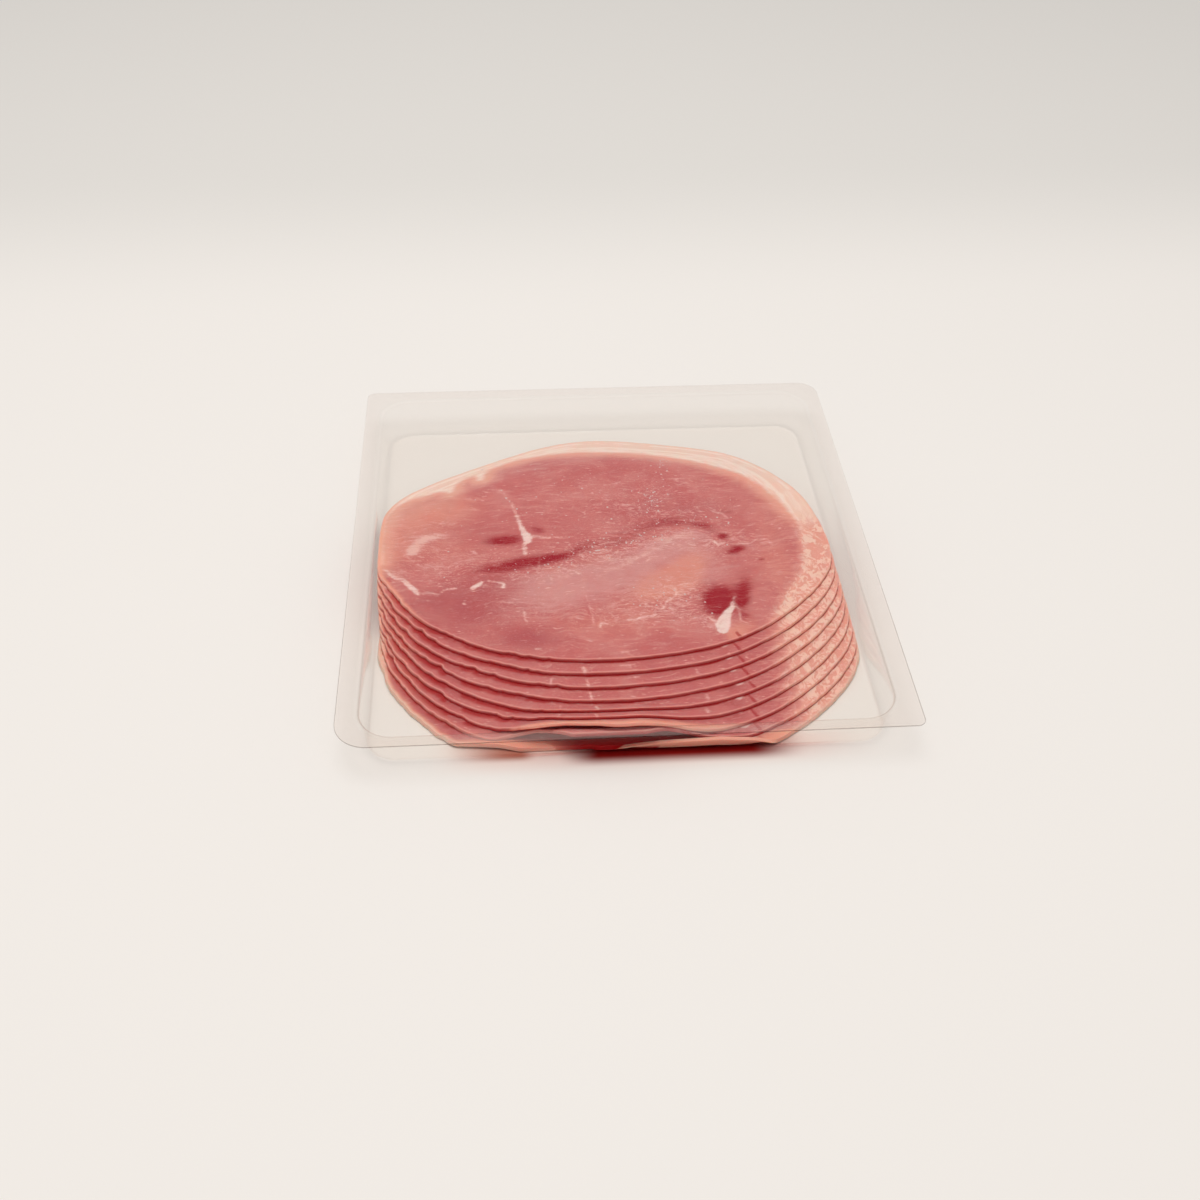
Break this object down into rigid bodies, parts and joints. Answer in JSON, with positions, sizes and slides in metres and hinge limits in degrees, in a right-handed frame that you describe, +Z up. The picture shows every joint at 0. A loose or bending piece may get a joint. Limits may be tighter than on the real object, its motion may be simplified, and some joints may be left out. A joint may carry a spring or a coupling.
{
  "type": "pack of sliced cooked ham",
  "caption": "Shallow clear thermoformed tray sealed with a flat clear film, holding a shingled stack of thin round slices of cooked ham.",
  "frame": {"origin": "under the middle of the tray, on the surface that the pack rests on", "axes": "+Z up, -Y towards the front edge, where the slices step down, +X to the right seen from the front"},
  "size_m": [0.19, 0.203, 0.0155],
  "materials": {
    "tray_pet": "clear thermoformed PET",
    "film": "clear lidding film",
    "ham": "moist cooked meat"
  },
  "bodies": {
    "root": {"tray": "tray_pet", "lid_film": "film", "slice_01": "ham", "slice_02": "ham", "slice_03": "ham", "slice_04": "ham", "slice_05": "ham", "slice_06": "ham", "slice_07": "ham", "slice_08": "ham", "slice_09": "ham"}
  },
  "joints": []
}
